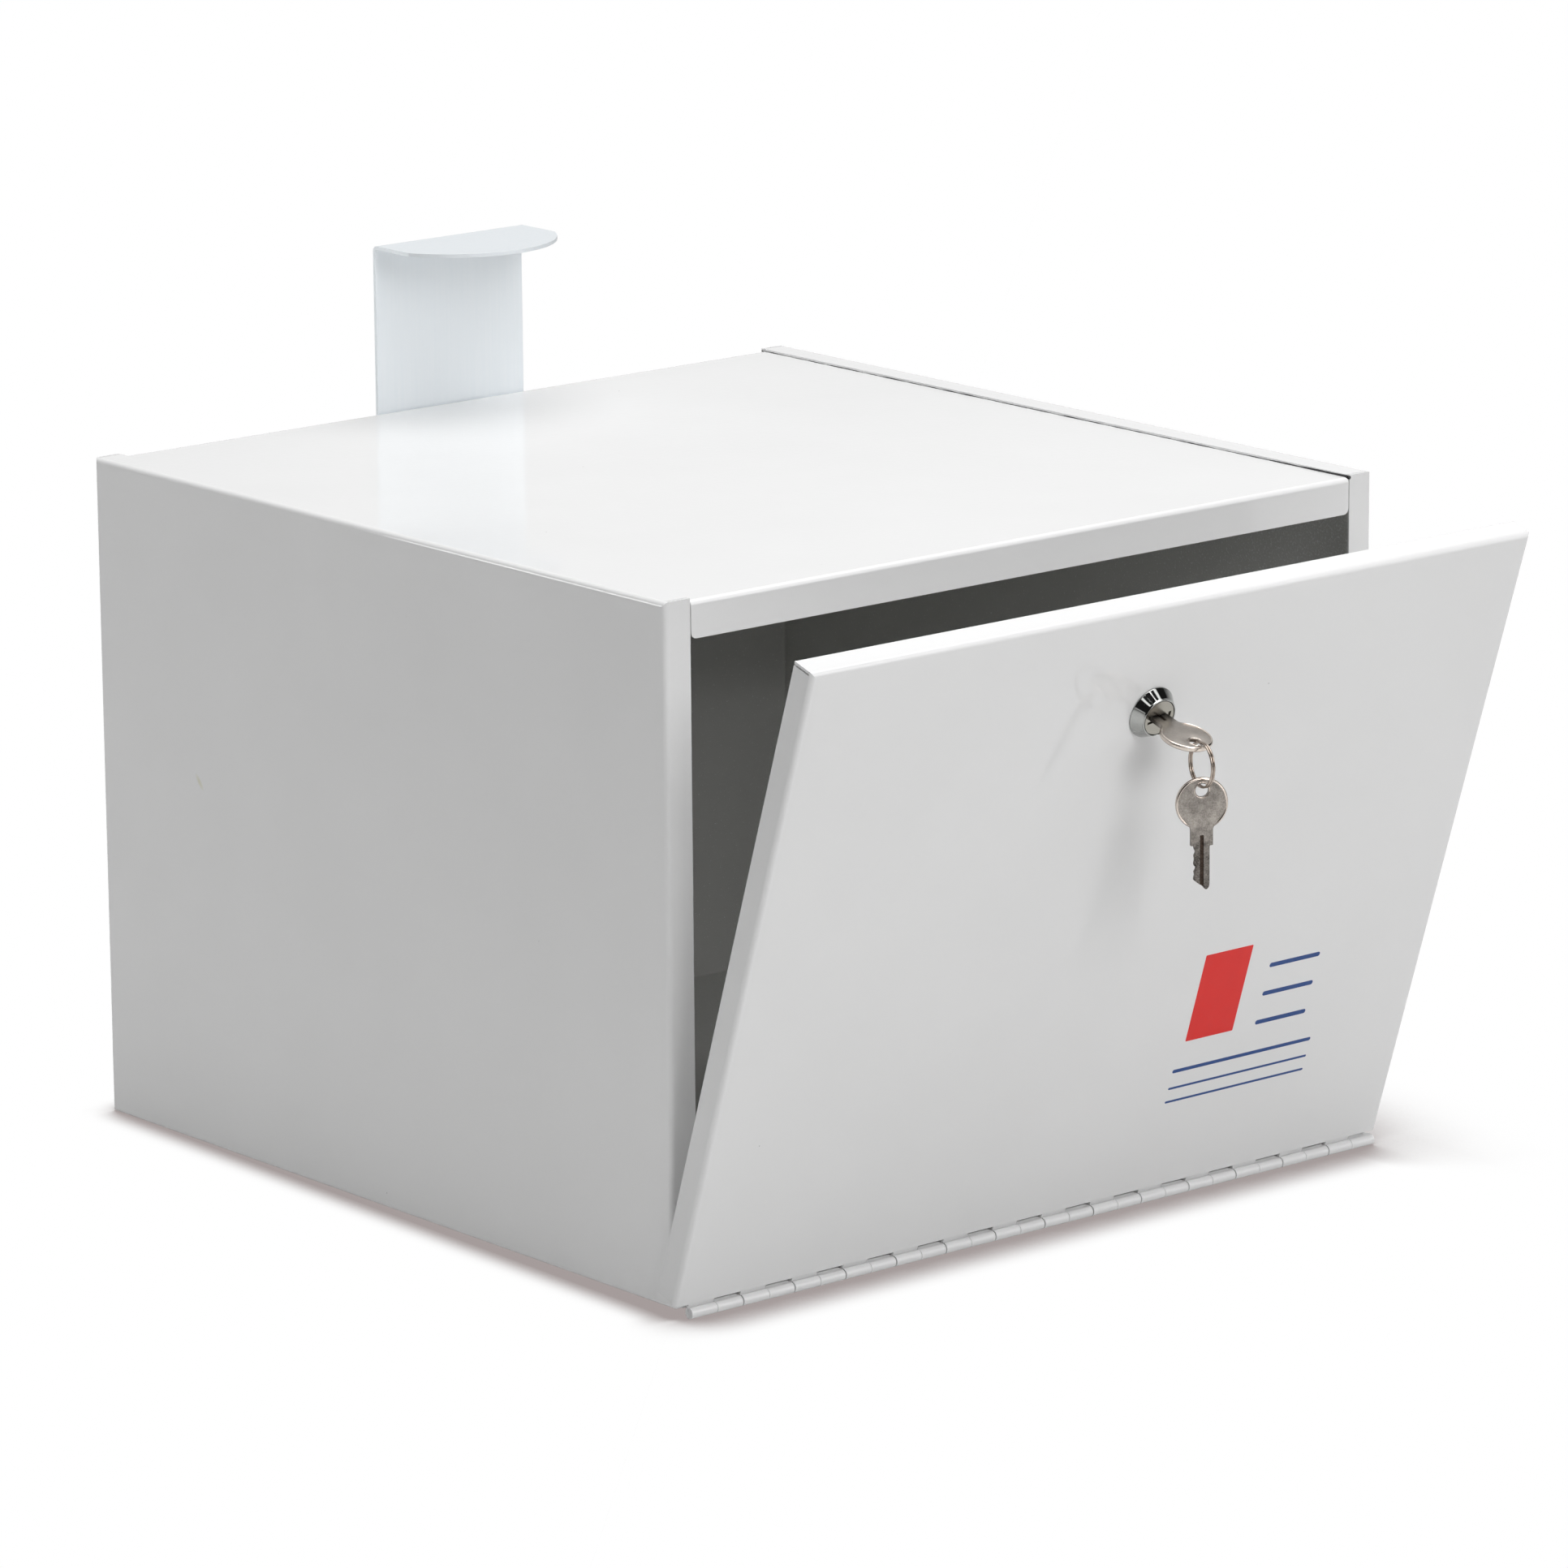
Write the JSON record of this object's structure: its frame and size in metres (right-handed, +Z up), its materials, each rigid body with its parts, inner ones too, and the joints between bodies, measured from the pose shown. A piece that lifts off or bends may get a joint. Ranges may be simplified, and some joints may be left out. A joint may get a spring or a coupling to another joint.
{
  "type": "specimen drop box",
  "caption": "White sheet-steel drop box with a drop-front door on a continuous hinge, a cam lock with keys on a ring, and a hanger strip behind.",
  "frame": {"origin": "centre of the floor's upper face, inside the box", "axes": "+X to the right seen from the front, the door faces -Y, +Z up"},
  "size_m": [0.3644, 0.4735, 0.3453],
  "materials": {
    "white_powder_coat": "smooth glossy powder coat",
    "bare_strip_steel": "bright cold-rolled strip",
    "plain_steel": "zinc plated",
    "lock_chrome": "polished chrome plate on zinc",
    "lock_brass": "stamped brass",
    "key_nickel": "nickel plated"
  },
  "bodies": {
    "box": {"left_side_panel": "white_powder_coat", "right_side_panel": "white_powder_coat", "wrapper": "white_powder_coat", "hanger_strip": "bare_strip_steel", "strip_rivets": "plain_steel", "hinge_body_leaf": "white_powder_coat", "hinge_pin": "plain_steel"},
    "door": {"door_panel": "white_powder_coat", "hinge_door_leaf": "white_powder_coat", "lock_housing": "lock_chrome", "lock_washer": "plain_steel", "lock_nut": "plain_steel"},
    "plug": {"lock_plug": "lock_chrome", "lock_wafers": "lock_brass", "stop_washer": "plain_steel", "lock_cam": "plain_steel", "cam_spring_washer": "plain_steel", "cam_nut": "plain_steel"},
    "key": {"lock_key": "key_nickel"},
    "ring": {"split_ring": "key_nickel"},
    "spare": {"spare_key": "key_nickel"}
  },
  "joints": [
    {"name": "door_hinge", "type": "hinge", "parent": "box", "child": "door", "pos_m": [0, -0.18335, -0.00415], "axis": [1, 0, 0], "range_deg": [-17.9, 72.1]},
    {"name": "lock_turn", "type": "hinge", "parent": "door", "child": "plug", "pos_m": [-0.0042, -0.25365, 0.214], "axis": [0, 0.9516, 0.3074], "range_deg": [0, 90]},
    {"name": "key_slide", "type": "slide", "parent": "plug", "child": "key", "axis": [0, -0.9516, -0.3074], "range_m": [0, 0.018]},
    {"name": "ring_swing", "type": "hinge", "parent": "key", "child": "ring", "pos_m": [-0.0042, -0.2818, 0.20491], "axis": [0.9925, -0.1219, 0], "range_deg": [-20, 0]},
    {"name": "spare_key_swing", "type": "hinge", "parent": "ring", "child": "spare", "pos_m": [-0.0042, -0.28194, 0.19009], "axis": [0.1219, 0.9925, 0], "range_deg": [-20, 20]}
  ]
}
